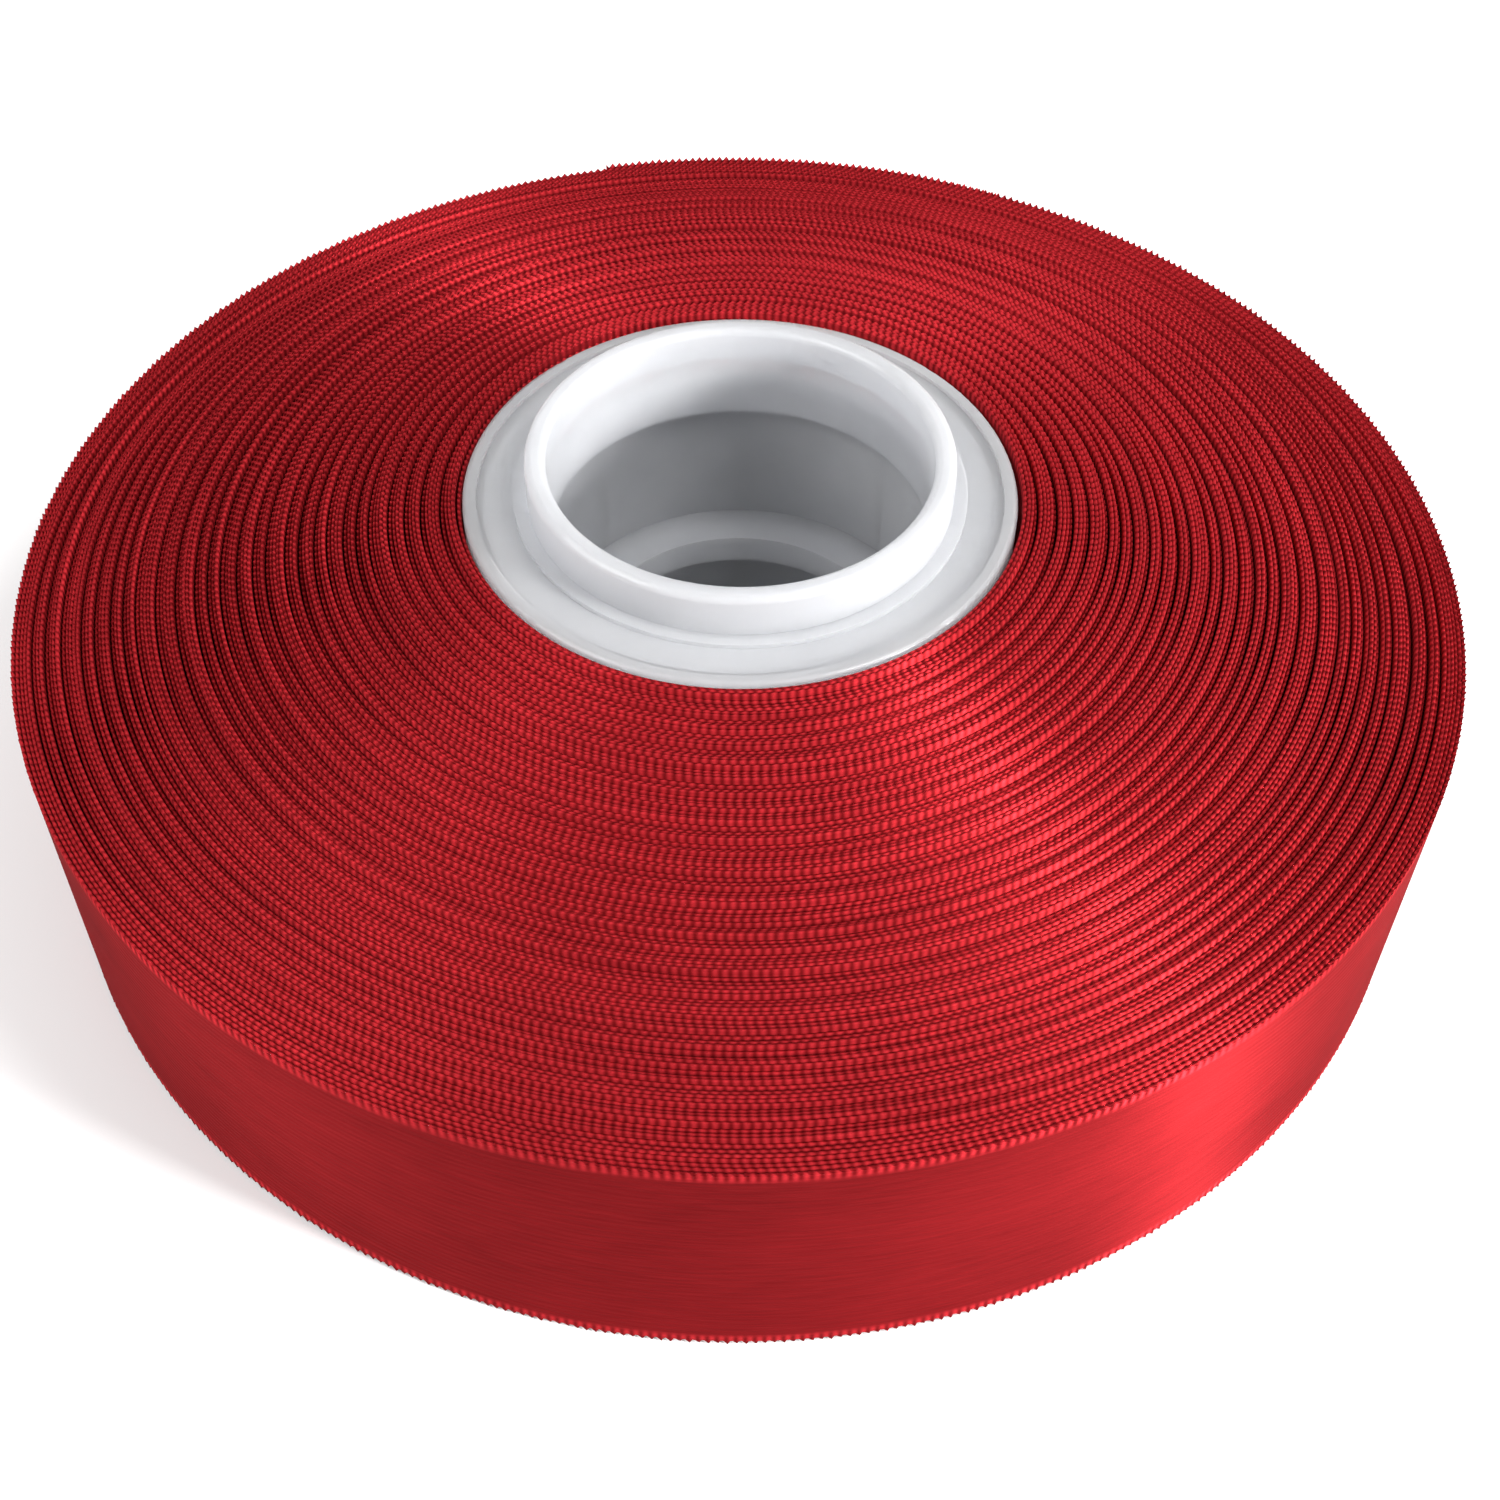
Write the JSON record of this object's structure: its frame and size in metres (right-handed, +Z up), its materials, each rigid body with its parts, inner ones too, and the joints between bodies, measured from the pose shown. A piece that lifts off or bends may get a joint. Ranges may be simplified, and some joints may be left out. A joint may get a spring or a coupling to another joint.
{
  "type": "ribbon spool",
  "caption": "Roll of satin ribbon wound on a frosted plastic hub with a raised collar and an open centre; the ribbon's free end peels off the outside.",
  "frame": {"origin": "on the spool's axis, in the plane it stands on", "axes": "+Z up along the spool's axis, towards the collar; the ribbon's free end is on the +Y side"},
  "size_m": [0.096, 0.0966, 0.028],
  "materials": {
    "hub_plastic": "frosted translucent natural plastic",
    "satin": "glossy woven satin, bright red",
    "clear_tape": "clear glossy film"
  },
  "bodies": {
    "spool": {"hub_upper_half": "hub_plastic", "hub_lower_half": "hub_plastic", "ribbon_pack": "satin"},
    "tail": {"ribbon_tail": "satin", "tail_tape": "clear_tape"}
  },
  "joints": [
    {"name": "tail_peel", "type": "hinge", "parent": "spool", "child": "tail", "pos_m": [0.01659, 0.04557, 0.0095], "axis": [0, 0, -1], "range_deg": [0, 35]}
  ]
}
